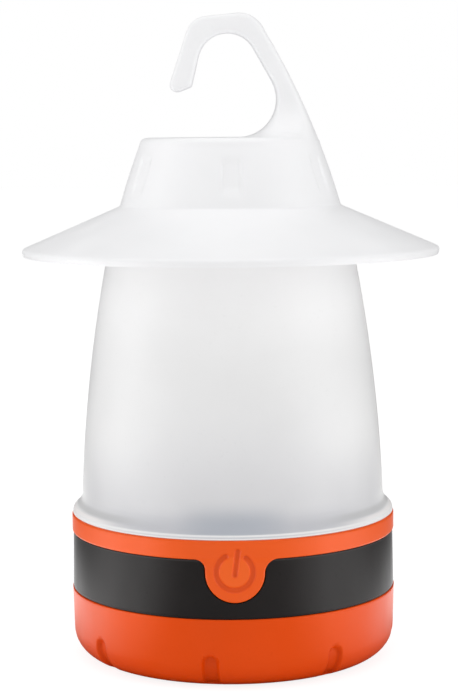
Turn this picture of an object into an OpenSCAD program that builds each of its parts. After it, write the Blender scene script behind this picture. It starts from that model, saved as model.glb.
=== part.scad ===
// Hanging LED camping lantern: a screw-on hat with a hook, a frosted diffuser, a black housing with an
// orange collar and push button, and an orange screw cover over three AA cells.
// Millimetres, +Z up, origin on the ground at the axis, button facing -Y, hook open towards -X.

/* [Battery cover] */
// Diameter of the base at the cover's top edge, with AA cells
base_d = 80; // [79:0.5:96]
// Height of the cover
cover_h = 17; // [15.5:0.25:22]
// Radius lost from the cover's top edge to the ground
cover_taper = 0.75; // [0.3:0.05:1.2]
// Round between the cover's side and the ground
cover_fillet = 6; // [4:0.25:7]
// Least thickness of the cover's side
cover_wall = 2.2; // [1.8:0.1:2.4]
// Thickness of the cover's floor
cover_floor = 2; // [1.5:0.1:2.6]
// Height of the ring that the lantern stands on
foot_h = 1; // [0.6:0.1:1.5]
// Width of the ring that the lantern stands on
foot_w = 7; // [4:0.5:12]
// Number of grip notches round the foot
notch_count = 8; // [4:1:12]
// Width of a grip notch
notch_w = 4; // [3:0.25:5]
// Height of a grip notch
notch_h = 8.2; // [7:0.2:10]
// Depth of a grip notch
notch_depth = 1.2; // [0.8:0.1:1.4]

/* [Housing] */
// Height of the black band
band_h = 13.6; // [13:0.2:20]
// How far the band lies inside the base's outline
band_inset = 0.35; // [0.2:0.05:0.8]
// Thickness of the band's wall
band_wall = 2; // [1.6:0.1:2.4]
// Thickness of the neck that the cover screws on
neck_wall = 1.6; // [1.2:0.1:2]
// Thickness of the deck and of the shelf above the neck
deck_t = 2; // [1.5:0.1:2.5]
// Depth of the deck below the collar's top edge
deck_sink = 4.2; // [3.6:0.1:5]
// Diameter of the cover's O-ring cord
o_ring_d = 1.2; // [1:0.1:1.4]

/* [Collar and button] */
// Height of the orange collar
collar_h = 4.5; // [4:0.1:6]
// Width of the button's tongue
tongue_w = 13.7; // [12:0.1:15]
// Length of the tongue below the collar
tongue_h = 9.9; // [9:0.1:11]
// Thickness of the tongue
tongue_t = 1.7; // [1.4:0.1:2]
// Round between the tongue and the collar's lower edge
tongue_fillet = 2.3; // [1.5:0.1:3]

/* [Diffuser] */
// Height of the diffuser's side, from the flare to the shoulder
diffuser_h = 67.2; // [50:0.5:90]
// Radius at the foot of the side
diffuser_foot_r = 37.2; // [36.8:0.1:38]
// Radius at the shoulder
diffuser_top_r = 28.6; // [27:0.2:30]
// Outward bow of the side
diffuser_bow = 1.5; // [0.5:0.1:2.5]
// Wall of the diffuser
diffuser_wall = 1.7; // [1.4:0.1:2]
// Height of the lip on the collar
lip_h = 1.7; // [1.2:0.1:2.4]
// Height of the flare above the lip
flare_h = 2.2; // [1.8:0.1:3]

/* [Hat] */
// Diameter of the brim
brim_d = 100.8; // [90:0.2:110]
// Drop of the brim from the crown's foot to the rim
brim_drop = 10.4; // [8:0.1:13]
// Thickness of the brim
brim_t = 1.5; // [1.2:0.1:2]
// Diameter of the crown's foot
crown_foot_d = 54.2; // [53:0.2:58]
// Diameter of the crown's top
crown_top_d = 42.6; // [41:0.2:45]
// Height of the crown
crown_h = 16; // [14:0.25:20]
// Radius of the outward bow that the crown's side and the hook's back share
crown_bow_r = 224; // [180:2:300]
// Wall of the crown
crown_wall = 1.8; // [1.5:0.1:2.2]
// Height of the crown's foot above the diffuser's shoulder
hat_lift = 4.5; // [4:0.1:6]
// Number of grip dimples round the crown
dimple_count = 6; // [4:1:8]
// Width of a grip dimple
dimple_w = 5.2; // [4:0.1:6]
// Length of a grip dimple
dimple_l = 10.2; // [8:0.1:11]
// Depth of a grip dimple
dimple_depth = 0.5; // [0.3:0.05:0.7]

/* [Hook] */
// Height of the hook above the crown
hook_h = 29.8; // [28:0.1:36]
// Thickness of the hook's free limb beside the crook
hook_t = 4.7; // [4:0.1:5.5]
// Thickness of the hook's top
hook_top_t = 4.8; // [4.2:0.1:6]
// Width of the hook at its top
hook_w = 7; // [6:0.1:9]
// Width of the hook above its root round
hook_root_w = 13; // [11:0.1:15]
// Inner radius of the crook that hangs on a line or rod
crook_r = 7.1; // [6:0.1:7.6]
// Inner radius of the round at the hook's root
root_r = 9.1; // [7.5:0.1:10]
// Lean of the free limb's inner side from upright
limb_lean = 13.5; // [8:0.5:18]
// Lean of the free limb's outer side from upright
limb_out_lean = 18.5; // [12:0.5:22]
// Length of the free limb below the crook's centre
limb_l = 7.6; // [6:0.1:9]

/* [Electrics] */
// Diameter of an AA cell
cell_d = 14.5; // [13.5:0.1:14.6]
// Length of an AA cell
cell_l = 50.5; // [49:0.1:51]
// Height of a pressed contact spring
spring_h = 2.6; // [2.4:0.1:2.8]
// Turns of a contact spring
spring_turns = 3; // [2:0.5:3]
// Diameter of the springs' wire
spring_wire = 0.6; // [0.5:0.05:0.65]
// Diameter of the LED board
led_board_d = 24; // [20:0.5:30]
// Number of LED chips
led_count = 6; // [4:2:8]
// Width of the driver board
driver_w = 24; // [20:0.5:28]
// Thickness of both boards
board_t = 1.2; // [1:0.1:1.6]
// Diameter of the leads
lead_d = 1.2; // [1:0.1:1.4]

/* [Clearances] */
// Gap between pieces that move past each other
run_gap = 0.3; // [0.2:0.05:0.4]
// Gap between pieces that only fit together
fit_gap = 0.15; // [0.1:0.05:0.2]

/* [Hidden] */
$fn = 96;
arc_n = 8;
bow_n = 12;
// Overlap that joins two solids of one piece
join = 0.2;
// How far a straight face runs past the round that it would only touch
cross_in = 0.02;
far = 200;

// Cover
aa_cell_l = 50.5;
// A longer cell widens the base
base_r = base_d / 2 + (cell_l - aa_cell_l) / 2;
foot_r = base_r - cover_taper;
bore_r = foot_r - cover_wall;
floor_z = foot_h + cover_floor;
inner_fillet = max(cover_fillet - cover_wall, 1);
cover_edge = 0.4;
notch_turn = -8;
notch_low = 0.6;

// Housing
seam = fit_gap;
band_z = cover_h + seam;
collar_z = band_z + band_h;
lip_z = collar_z + collar_h;
band_r = base_r - band_inset;
band_in_r = band_r - band_wall;
band_taper = 0.12;
band_edge = 0.3;
neck_r = bore_r - run_gap;
bay_r = neck_r - neck_wall;
neck_z = floor_z + inner_fillet + run_gap;
shelf_z = band_z + deck_t;
deck_z = lip_z - deck_sink;
deck_under = deck_z - deck_t;
o_ring_r = neck_r + run_gap + o_ring_d / 2;
o_ring_z = band_z - run_gap - o_ring_d / 2;
rebate_r = o_ring_r + o_ring_d / 2 + run_gap;
rebate_z = o_ring_z - o_ring_d / 2 - run_gap;

// Collar, upper neck and button
collar_inset = 0.2;
collar_edge = 0.5;
collar_r = base_r - collar_inset;
spigot_wall = 1.6;
collar_wall = 2.3;
collar_bore = collar_r - collar_wall;
spool_r = collar_bore - fit_gap;
spool_wall = 1.7;
spool_in = spool_r - spool_wall;
spigot_r = spool_in - fit_gap;
gasket_t = 0.7;
spool_z = lip_z - gasket_t - fit_gap;
tongue_r = base_r;
tongue_back = tongue_r - tongue_t;
tongue_top = collar_z - run_gap;
tongue_low = collar_z - tongue_h;
// The tongue's rounds at the top run on to a line just above the collar's lower edge
round_top = collar_z + 0.15;
hinge_z = collar_z - run_gap / 2;
hinge_y = -(tongue_r - tongue_t / 2);
button_turn = 3.5;
well_r = tongue_back - tongue_h * tan(button_turn) - run_gap;
well_wall = 1.3;
well_in = well_r - well_wall;
well_half = tongue_w / 2 + tongue_fillet + run_gap + well_wall;
boss_r = 2.2;
boss_l = 1.8;

// Cells and tray
cell_z = floor_z + 2 * run_gap + cell_d / 2;
cell_pitch = cell_d + run_gap;
cell_nub_l = 1;
cell_nub_r = 2.75;
ceiling_z = cell_z + cell_d / 2 + run_gap;
ceiling_t = 1.5;
tray_top = ceiling_z + ceiling_t;
tray_r = bay_r - fit_gap;
plate_t = 0.4;
plate_x = cell_l / 2 + spring_h;
plate_w = 9;
plate_h = 10;
bump_r = 4;
spring_big_r = 4.3;
spring_small_r = 1.8;
spring_touch = 0.05;
wall_x = plate_x + plate_t;
wall_t = 1.2;
saddle_x = 14;
saddle_t = 4;
saddle_lift = 2.5;
saddle_low = cell_z + saddle_lift;
saddle_rim = 1.2;
screw_x = 20;
screw_y = cell_pitch / 2;
screw_r = 1.2;
screw_l = 7;
screw_head_r = 2.4;
screw_head_t = 1.4;
post_r = 2.8;
tag_w = 3;
tag_out = 2;
tag_top = tray_top + tag_out;

// Boards and switch
switch_w = 6;
switch_t = 3.5;
switch_lift = 0.4;
switch_z = (tray_top + deck_under) / 2 + switch_lift;
plunger_r = 1.7;
plunger_out = 1.2;
plunger_depth = 1.2;
boss_end = tongue_back - boss_l;
plunger_y = boss_end - run_gap;
switch_y = plunger_y - plunger_out;
driver_y = switch_y - switch_t;
driver_z = tray_top;
driver_h = deck_under - fit_gap - driver_z;
rail_w = 2;
rail_grip = 1;
chip_z = 2.7;
chip_w = 4;
chip_t = 1.4;
resistor_x = 6.5;
resistor_z = 2;
resistor_w = 2;
resistor_h = 1.2;
resistor_t = 0.6;
coil_x = 6.6;
coil_z = 6.8;
coil_w = 3;
coil_t = 2;
press_travel = (hinge_z - switch_z) * tan(button_turn);
led_board_r = led_board_d / 2;
pedestal_h = 1.8;
led_z = deck_z + pedestal_h;
led_top = led_z + board_t;
led_ring_r = 6.5;
led_w = 3.5;
led_t = 0.8;
led_screw_in = 2.5;
led_screw_x = led_board_r - led_screw_in;
led_screw_r = 0.8;
led_screw_l = 4;
led_head_r = 1.6;
led_head_t = 1;
lead_hole_in = 7.5;
lead_hole_y = lead_hole_in - driver_y;
lead_hole_r = 2.6;

// Diffuser
lip_inset = 0.4;
lip_r = base_r - lip_inset;
lip_edge = 0.4;
flare_z = lip_z + lip_h + flare_h;
shoulder_z = flare_z + diffuser_h;
flare_r = 4;
shoulder_round = 3;

// Hat
crown_top_r = crown_top_d / 2;
crease_r = crown_foot_d / 2;
crease_z = shoulder_z + hat_lift;
crown_z = crease_z + crown_h;
crown_edge = 1;
rim_back = 0.3;
crease_round = 0.8;
rim_r = brim_d / 2;
rim_z = crease_z - brim_drop;
rim_edge = 0.6;
socket_wall = 1.6;
socket_in = crown_top_r - crown_wall - socket_wall;
top_under = crown_z - crown_wall;
stem_r = socket_in - run_gap;
stem_gap = 4;
stem_z = top_under - stem_gap;
hat_gasket_t = 1.6;
hat_gasket_z = shoulder_z + fit_gap;
socket_z = hat_gasket_z + hat_gasket_t + fit_gap;
dimple_z = crease_z + 0.44 * crown_h;

// Hook, with heights counted from the crown's top
crook_back = 6.40;
root_back = 5.97;
top_slope = 0.1;
left_round = 5.3;
right_round = 6.5;
tip_round = 1.7;
tip_slant = 3.9;
top_x = 2;
hook_sink = 1.4;
back_inset = 0.15;
flare_top = 20;
flare_round = 9;

// Routes of the leads, from the contacts' tags to the driver board and through the deck to the LED board
lead_x = plate_x - lead_d / 2 - fit_gap;
lead_y = -driver_y + board_t + lead_d / 2;
lead_low = tray_top + lead_d / 2 + fit_gap / 2;
lead_mid = lead_low + 2.9;
lead_high = lead_low + 3.9;
lead_end_x = 9;
led_lead_x = 4;
led_lead_gap = 1.2;
battery_positive_route = [
    [lead_x, cell_pitch, lead_low],
    [lead_x - 0.3, cell_pitch - 1.8, lead_low + 2.4],
    [lead_x - 1.1, cell_pitch - 6.8, lead_mid],
    [lead_x - 0.1, -4, lead_mid],
    [lead_x - 2.1, lead_y + 13.7, lead_mid],
    [lead_x - 9.1, lead_y + 4.7, lead_high],
    [lead_end_x + 4, lead_y + 3.5, lead_high],
    [lead_end_x + 1, lead_y + 2.5, lead_high],
    [lead_end_x, lead_y, lead_high]
];
battery_negative_route = [
    [-lead_x, -cell_pitch, lead_low],
    [-lead_x + 0.3, -cell_pitch - 0.7, lead_low + 1.9],
    [-lead_x + 2.1, -cell_pitch - 3.2, lead_mid],
    [-lead_x + 8.1, lead_y + 6.2, lead_mid],
    [-lead_end_x - 4, lead_y + 3.7, lead_high],
    [-lead_end_x - 1, lead_y + 2.5, lead_high],
    [-lead_end_x, lead_y, lead_high]
];
function led_route(side) = [
    [side * led_lead_x, lead_y, lead_high + 0.5],
    [side * (led_lead_x - 0.5), lead_y + 2.7, lead_high + 1],
    [side * led_lead_gap, lead_hole_y - 0.5, deck_under - 1],
    [side * led_lead_gap, lead_hole_y, deck_z],
    [side * led_lead_gap, lead_hole_y + 2, deck_z + 3],
    [side * (led_lead_gap + 0.3), -led_board_r - 5, led_top + 2],
    [side * (led_lead_gap + 0.6), -led_board_r, led_top + 1.6],
    [side * (led_lead_gap + 0.8), 2.4 - led_board_r, led_top + lead_d / 2 + fit_gap]
];

orange = [0.86, 0.27, 0.03];
black = [0.13, 0.13, 0.14];
white = [0.95, 0.95, 0.96];
frosted = [0.86, 0.87, 0.89, 0.8];
rubber = [0.2, 0.2, 0.2];
steel = [0.72, 0.72, 0.74];
board_blue = [0.08, 0.2, 0.42];

function unit(v) = v / norm(v);
function turned(v, a) = [v[0] * cos(a) - v[1] * sin(a), v[0] * sin(a) + v[1] * cos(a)];
function flat(p) = [p[0], p[1]];

// Arc of radius r in the corner b between the neighbours a and c
function corner(a, b, c, r) =
    let (
        u = unit(flat(a) - flat(b)),
        v = unit(flat(c) - flat(b)),
        half = acos(u * v) / 2,
        centre = flat(b) + unit(u + v) * r / sin(half),
        start = flat(b) + u * r / tan(half) - centre,
        side = (u[0] * v[1] - u[1] * v[0]) > 0 ? -1 : 1,
        sweep = side * (180 - 2 * half)
    )
    [for (i = [0 : arc_n]) centre + turned(start, sweep * i / arc_n)];

// Outline through corners [x, y, radius], where a corner without a radius stays sharp
function rounded(p) =
    let (n = len(p))
    [for (i = [0 : n - 1]) each
        (len(p[i]) < 3 || p[i][2] == 0)
            ? [flat(p[i])]
            : corner(p[(i + n - 1) % n], p[i], p[(i + 1) % n], p[i][2])];

// Point at the share t of an arc from a to b, bowed by the sagitta s to the right of the way from a to b
function bowed(a, b, s, t) =
    let (
        chord = norm(b - a),
        r = (chord * chord / 4 + s * s) / (2 * s),
        way = unit(b - a),
        out = [way[1], -way[0]],
        centre = (a + b) / 2 - out * (r - s),
        half = asin(chord / 2 / r)
    )
    centre + turned(out * r, -half + 2 * half * t);
function bow_line(a, b, s) = [for (i = [1 : bow_n - 1]) bowed(a, b, s, i / bow_n)];

// Crown's bowed side, carried on up to the hook's top
crown_foot = [crease_r, crease_z];
crown_rim = [crown_top_r, crown_z];
crown_chord = norm(crown_rim - crown_foot);
crown_way = unit(crown_rim - crown_foot);
crown_out = [crown_way[1], -crown_way[0]];
crown_reach = sqrt(pow(crown_bow_r, 2) - pow(crown_chord / 2, 2));
crown_sag = crown_bow_r - crown_reach;
crown_centre = (crown_foot + crown_rim) / 2 - crown_out * crown_reach;
crown_skin = crown_wall / crown_way[1];
function crown_side(z) = crown_centre[0] + sqrt(pow(crown_bow_r, 2) - pow(z - crown_centre[1], 2));

// Height of the brim's underside
brim_slope = brim_drop / (rim_r - crease_r);
function brim_under(r) = crease_z - brim_t / cos(atan(brim_slope)) - (r - crease_r) * brim_slope;

// Centres of the crook and of the root round, set in from the hook's back
crook_lift = hook_h - hook_top_t - crook_r;
crook = [crown_side(crown_z + crook_lift) - crook_back - crook_r, crook_lift];
root = [crown_side(crown_z + root_r) - root_back - root_r, root_r - cross_in];

// Normal of the straight face that touches the crook and the root round
inner_way = root - crook;
inner_turn = atan2(inner_way[1], inner_way[0]) + acos((crook_r - root_r) / norm(inner_way));
inner_normal = [cos(inner_turn), sin(inner_turn)];

// Tube along a smooth route, as closed rings of triangles
function smooth_point(p, i, t) =
    let (
        n = len(p) - 1,
        a = p[max(i - 1, 0)],
        b = p[i],
        c = p[i + 1],
        d = p[min(i + 2, n)]
    )
    0.5 * (2 * b + (c - a) * t + (2 * a - 5 * b + 4 * c - d) * t * t + (3 * b - a - 3 * c + d) * t * t * t);
function smooth_route(p, steps) = [
    for (i = [0 : len(p) - 2]) for (j = [0 : steps - 1]) smooth_point(p, i, j / steps), p[len(p) - 1]
];
function way_at(p, i) = unit(p[min(i + 1, len(p) - 1)] - p[max(i - 1, 0)]);
function ring(centre, way, r, sides) =
    let (
        help = abs(way[2]) > 0.9 ? [1, 0, 0] : [0, 0, 1],
        u = unit(cross(way, help)),
        v = cross(way, u)
    )
    [for (k = [0 : sides - 1]) centre + r * (cos(360 * k / sides) * u + sin(360 * k / sides) * v)];

module tube(p, r, sides) {
    n = len(p);
    last = (n - 1) * sides;
    points = [for (i = [0 : n - 1]) each ring(p[i], way_at(p, i), r, sides)];
    walls = [
        for (i = [0 : n - 2]) for (k = [0 : sides - 1])
            let (a = i * sides + k, b = i * sides + (k + 1) % sides)
            each [[a, b + sides, b], [a, a + sides, b + sides]]
    ];
    first_cap = [for (k = [1 : sides - 2]) [0, k, k + 1]];
    last_cap = [for (k = [1 : sides - 2]) [last, last + k + 1, last + k]];
    polyhedron(points, concat(walls, first_cap, last_cap));
}

module turned_part(p) {
    rotate_extrude()
        polygon(p);
}

module disc(r, z0, z1) {
    translate([0, 0, z0])
        cylinder(r = r, h = z1 - z0);
}

module rod_y(r, y0, y1, z) {
    translate([0, y0, z])
        rotate([-90, 0, 0])
            cylinder(r = r, h = y1 - y0);
}

module block(x0, x1, y0, y1, z0, z1) {
    translate([x0, y0, z0])
        cube([x1 - x0, y1 - y0, z1 - z0]);
}

// Outline in X and Z, with its depth along Y
module upright(y0, y1) {
    translate([0, y1, 0])
        rotate([90, 0, 0])
            linear_extrude(y1 - y0)
                children();
}

// Crown and brim as one turned shell
module hat_shell() {
    side_bow = bow_line(crown_foot, crown_rim, crown_sag);
    foot_in = [crease_r - crown_skin, brim_under(crease_r - crown_skin)];
    rim_in = [crown_side(top_under) - crown_skin, top_under];
    turned_part(concat(
        rounded(concat(
            [[0, crown_z], [crown_top_r, crown_z, crown_edge]],
            [for (i = [len(side_bow) - 1 : -1 : 0]) side_bow[i]],
            [[crease_r, crease_z, crease_round], [rim_r, rim_z, rim_edge]],
            [[rim_r - rim_back, brim_under(rim_r - rim_back), rim_edge], foot_in],
            bow_line(foot_in, rim_in, crown_sag),
            [rim_in, [0, top_under]]
        ))
    ));
}

// Ring inside the crown that screws on the diffuser's stem
module hat_socket() {
    difference() {
        disc(socket_in + socket_wall, socket_z, top_under + join);
        disc(socket_in, socket_z - 1, far);
    }
}

// Shallow oval hollow in the crown's side, cut by part of a ring
module grip_dimple(turn) {
    lean = atan((crown_side(dimple_z - 1) - crown_side(dimple_z + 1)) / 2);
    side_r = crown_side(dimple_z);
    minor = 1 / (8 * dimple_depth / pow(dimple_w, 2) - 1 / side_r);
    major = pow(dimple_l, 2) / (8 * dimple_depth) - minor;
    reach = 1.15 * asin(dimple_l / 2 / (major + minor));
    rotate([0, 0, turn])
        translate([0, -side_r, dimple_z])
            rotate([-lean, 0, 0])
                translate([0, dimple_depth - major - minor, 0])
                    rotate([0, 90, 0])
                        rotate([0, 0, 90 - reach])
                            rotate_extrude(angle = 2 * reach)
                                translate([major, 0])
                                    circle(minor);
}

// Hook seen from the front, with its foot sunk into the crown
module hook_front() {
    down = [-sin(limb_lean), -cos(limb_lean)];
    down_out = [-sin(limb_out_lean), -cos(limb_out_lean)];
    out = [-cos(limb_lean), sin(limb_lean)];
    face = crook + out * (crook_r - cross_in);
    back = crook + out * (crook_r + hook_t);
    tip_in = face + down * limb_l;
    tip_out = back + down_out * (limb_l + tip_slant);
    rise = (hook_h + top_slope * (back[0] - top_x) - back[1]) / (down_out[1] - top_slope * down_out[0]);
    left_corner = back + down_out * rise;
    right_x = crown_side(crown_z + hook_h);
    right_corner = [right_x, hook_h + top_slope * (right_x - top_x)];
    side_z = hook_h - 2 * right_round;
    side = [crown_side(crown_z + side_z) + run_gap, side_z];
    difference() {
        polygon(rounded([
            tip_in + (tip_in - tip_out),
            [tip_out[0], tip_out[1], tip_round],
            [left_corner[0], left_corner[1], left_round],
            [right_corner[0], right_corner[1], right_round],
            side,
            [crease_r, -hook_sink],
            [root[0], -hook_sink]
        ]));
        translate(crook)
            circle(crook_r);
        translate(root)
            circle(root_r);
        polygon([
            face,
            tip_in + down * crook_r,
            [root[0], -2 * hook_sink],
            root,
            root + inner_normal * (root_r - cross_in),
            crook + inner_normal * (crook_r - cross_in),
            crook
        ]);
    }
}

// Hook seen from the side, narrow at the top and flared to the crown
module hook_side() {
    foot = hook_root_w / 2 + flare_round;
    half = [
        [foot, -hook_sink],
        [foot, -cross_in],
        [hook_root_w / 2, -cross_in, flare_round],
        [hook_w / 2, flare_top, flare_top],
        [hook_w / 2, 2 * hook_h]
    ];
    other = [for (i = [len(half) - 1 : -1 : 0]) let (p = half[i]) [-p[0], p[1], len(p) > 2 ? p[2] : 0]];
    polygon(rounded(concat(half, other)));
}

// Solid inside the crown's side carried on upwards, which shapes the hook's back
module hook_back() {
    low = crown_z - hook_sink;
    high = crown_z + hook_h + hook_sink;
    turned_part(concat(
        [[0, low]],
        [for (i = [0 : bow_n]) let (z = low + (high - low) * i / bow_n) [crown_side(z) - back_inset, z]],
        [[0, high]]
    ));
}

module hook() {
    intersection() {
        translate([0, 0, crown_z])
            upright(-rim_r, rim_r)
                hook_front();
        translate([-rim_r, 0, crown_z])
            rotate([90, 0, 90])
                linear_extrude(2 * rim_r)
                    hook_side();
        union() {
            hook_back();
            block(-rim_r, 0, -rim_r, rim_r, crown_z + hook_sink, crown_z + 2 * hook_h);
        }
    }
}

module hat() {
    color(white) {
        difference() {
            union() {
                hat_shell();
                hat_socket();
            }
            for (i = [0 : dimple_count - 1])
                grip_dimple(360 * i / dimple_count);
        }
        hook();
    }
}

module hat_gasket() {
    color(rubber)
        difference() {
            disc(socket_in + socket_wall, hat_gasket_z, hat_gasket_z + hat_gasket_t);
            disc(stem_r + fit_gap, 0, far);
        }
}

// Diffuser: lip, flare, bowed side, shoulder and the stem that carries the hat
module diffuser() {
    foot = [diffuser_foot_r, flare_z];
    top = [diffuser_top_r, shoulder_z];
    foot_in = [diffuser_foot_r - diffuser_wall, flare_z];
    top_in = [diffuser_top_r - diffuser_wall, shoulder_z - diffuser_wall];
    inside = bow_line(foot_in, top_in, diffuser_bow);
    color(frosted)
        turned_part(rounded(concat(
            [[spigot_r, lip_z], [lip_r, lip_z], [lip_r, lip_z + lip_h, lip_edge]],
            [[foot[0], foot[1], flare_r]],
            bow_line(foot, top, diffuser_bow),
            [[top[0], top[1], shoulder_round], [stem_r, shoulder_z]],
            [[stem_r, stem_z, lip_edge], [0, stem_z], [0, stem_z - diffuser_wall]],
            [[stem_r - diffuser_wall, stem_z - diffuser_wall], [stem_r - diffuser_wall, top_in[1]], top_in],
            [for (i = [len(inside) - 1 : -1 : 0]) inside[i]],
            [foot_in, [spigot_r - spigot_wall, lip_z], [spigot_r - spigot_wall, deck_z + fit_gap]],
            [[spigot_r, deck_z + fit_gap]]
        )));
}

module diffuser_gasket() {
    color(rubber)
        difference() {
            disc(spool_r, lip_z - gasket_t, lip_z);
            disc(spool_in, 0, far);
        }
}

module collar_ring() {
    color(orange)
        turned_part(rounded([
            [collar_bore, collar_z],
            [collar_r, collar_z, collar_edge],
            [collar_r, lip_z, collar_edge],
            [collar_bore, lip_z]
        ]));
}

// Tongue's outline, grown by a gap: a round end, and rounds that widen it towards the collar
module tongue_front(gap) {
    half = tongue_w / 2 + gap;
    low = tongue_low - gap;
    wide = half + tongue_fillet + cross_in;
    polygon(rounded([
        [-half, low, half - cross_in],
        [half, low, half - cross_in],
        [half, round_top, tongue_fillet],
        [wide, round_top],
        [wide, lip_z],
        [-wide, lip_z],
        [-wide, round_top],
        [-half, round_top, tongue_fillet]
    ]));
}

module power_button() {
    color(orange) {
        intersection() {
            upright(-far, 0)
                tongue_front(0);
            difference() {
                disc(tongue_r, 0, tongue_top);
                disc(tongue_back, -1, far);
            }
        }
        intersection() {
            rod_y(boss_r, -tongue_r, -boss_end, switch_z);
            disc(tongue_back + tongue_t / 2, 0, far);
        }
    }
}

// Housing: black band, deck, upper spool for collar and diffuser, and lower neck for the cover
module housing_shell() {
    turned_part(rounded([
        [neck_r, neck_z],
        [neck_r, band_z],
        [band_r + band_taper, band_z, band_edge],
        [band_r - band_taper, collar_z, band_edge],
        [spool_r, collar_z],
        [spool_r, spool_z],
        [spool_in, spool_z],
        [spool_in, deck_z],
        [0, deck_z],
        [0, deck_under],
        [band_in_r, deck_under],
        [band_in_r, shelf_z],
        [bay_r, shelf_z],
        [bay_r, neck_z]
    ]));
}

// Thick place behind the button's tongue
module button_well() {
    intersection() {
        difference() {
            disc(band_in_r + band_wall / 2, 0, far);
            disc(well_in, -1, far);
        }
        block(-well_half, well_half, -base_r, 0, band_z + join, deck_under + join);
    }
}

module button_pocket() {
    intersection() {
        upright(-far, 0)
            tongue_front(run_gap);
        difference() {
            disc(far, 0, collar_z + join);
            disc(well_r, -1, far);
        }
    }
    rod_y(boss_r + 2 * run_gap, -base_r, -well_in / 2, switch_z);
}

module board_rail() {
    x0 = driver_w / 2 - rail_grip;
    difference() {
        block(x0, x0 + rail_grip + rail_w, -driver_y - rail_w, -driver_y + board_t + rail_w,
            tray_top + fit_gap, deck_under + join);
        block(0, driver_w / 2 + fit_gap, -driver_y - fit_gap, -driver_y + board_t + fit_gap, 0, far);
    }
}

module at_tray_screws() {
    for (x = [-1, 1])
        for (y = [-1, 1])
            translate([x * screw_x, y * screw_y, 0])
                children();
}

module at_led_screws() {
    for (x = [-1, 1])
        translate([x * led_screw_x, 0, 0])
            children();
}

module housing() {
    color(black)
        difference() {
            union() {
                housing_shell();
                button_well();
                disc(led_board_r, deck_z - join, led_z);
                board_rail();
                mirror([1, 0, 0])
                    board_rail();
                at_tray_screws()
                    disc(post_r, tray_top, deck_under + join);
            }
            button_pocket();
            at_tray_screws()
                disc(screw_r + fit_gap, 0, tray_top + screw_l - ceiling_t);
            at_led_screws()
                disc(led_screw_r + fit_gap, deck_z - deck_t / 2, far);
            translate([0, lead_hole_y, 0])
                disc(lead_hole_r, 0, far);
        }
}

module cover_o_ring() {
    color(rubber)
        translate([0, 0, o_ring_z])
            rotate_extrude()
                translate([o_ring_r, 0])
                    circle(o_ring_d / 2);
}

// Battery cover: cup with a foot ring and grip notches that run out above the foot, sunk straight inwards
module grip_notch(turn) {
    half = notch_w / 2;
    difference() {
        rotate([0, 0, turn])
            upright(-far, cover_fillet - foot_r)
                polygon(rounded([
                    [-half, notch_low],
                    [half, notch_low],
                    [half, notch_h, half - cross_in],
                    [-half, notch_h, half - cross_in]
                ]));
        turned_part(rounded([
            [0, notch_low / 2],
            [foot_r - notch_depth, notch_low / 2, cover_fillet],
            [base_r - notch_depth, cover_h],
            [0, cover_h]
        ]));
    }
}

module battery_cover() {
    foot_in = foot_r - cover_fillet - foot_w;
    color(orange)
        difference() {
            turned_part(rounded([
                [0, foot_h],
                [foot_in, foot_h],
                [foot_in, 0, cover_edge],
                [foot_r, 0, cover_fillet],
                [base_r, cover_h, cover_edge],
                [rebate_r, cover_h],
                [rebate_r, rebate_z],
                [bore_r, rebate_z],
                [bore_r, floor_z, inner_fillet],
                [0, floor_z]
            ]));
            for (i = [0 : notch_count - 1])
                grip_notch(notch_turn + 360 * i / notch_count);
        }
}

module led_board() {
    color(board_blue)
        difference() {
            disc(led_board_r, led_z, led_top);
            at_led_screws()
                disc(led_screw_r + fit_gap, 0, far);
        }
}

module led_chips() {
    color([0.95, 0.9, 0.6])
        for (i = [0 : led_count - 1])
            rotate([0, 0, 360 * (i + 0.5) / led_count])
                translate([led_ring_r, 0, 0])
                    block(-led_w / 2, led_w / 2, -led_w / 2, led_w / 2, led_top, led_top + led_t);
}

module led_board_screws() {
    color(steel)
        at_led_screws() {
            disc(led_head_r, led_top, led_top + led_head_t);
            disc(led_screw_r, led_top - led_screw_l, led_top + join);
        }
}

module driver_board() {
    color([0.1, 0.35, 0.15])
        block(-driver_w / 2, driver_w / 2, -driver_y, -driver_y + board_t, driver_z, driver_z + driver_h);
}

// Block of a part on the back of the driver board
module board_part(x, z, w, h, t) {
    back = -driver_y + board_t;
    block(x - w / 2, x + w / 2, back, back + t, driver_z + z - h / 2, driver_z + z + h / 2);
}

module driver_parts() {
    color([0.16, 0.16, 0.17]) {
        board_part(0, chip_z, chip_w, chip_w, chip_t);
        for (side = [-1, 1])
            board_part(side * resistor_x, resistor_z, resistor_w, resistor_h, resistor_t);
        board_part(coil_x, coil_z, coil_w, coil_w, coil_t);
    }
}

module switch_body() {
    half = switch_w / 2;
    color([0.2, 0.2, 0.22])
        difference() {
            block(-half, half, -switch_y, -driver_y, switch_z - half, switch_z + half);
            rod_y(plunger_r + fit_gap, -far, plunger_depth + press_travel + run_gap - switch_y, switch_z);
        }
}

module switch_plunger() {
    color([0.85, 0.85, 0.82])
        rod_y(plunger_r, -plunger_y, plunger_depth - switch_y, switch_z);
}

// Tray: ceiling with saddles over the cells and end walls that carry the contacts
module cell_bed(y) {
    translate([-far / 2, y, cell_z])
        rotate([0, 90, 0])
            cylinder(r = cell_d / 2 + fit_gap, h = far);
}

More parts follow.
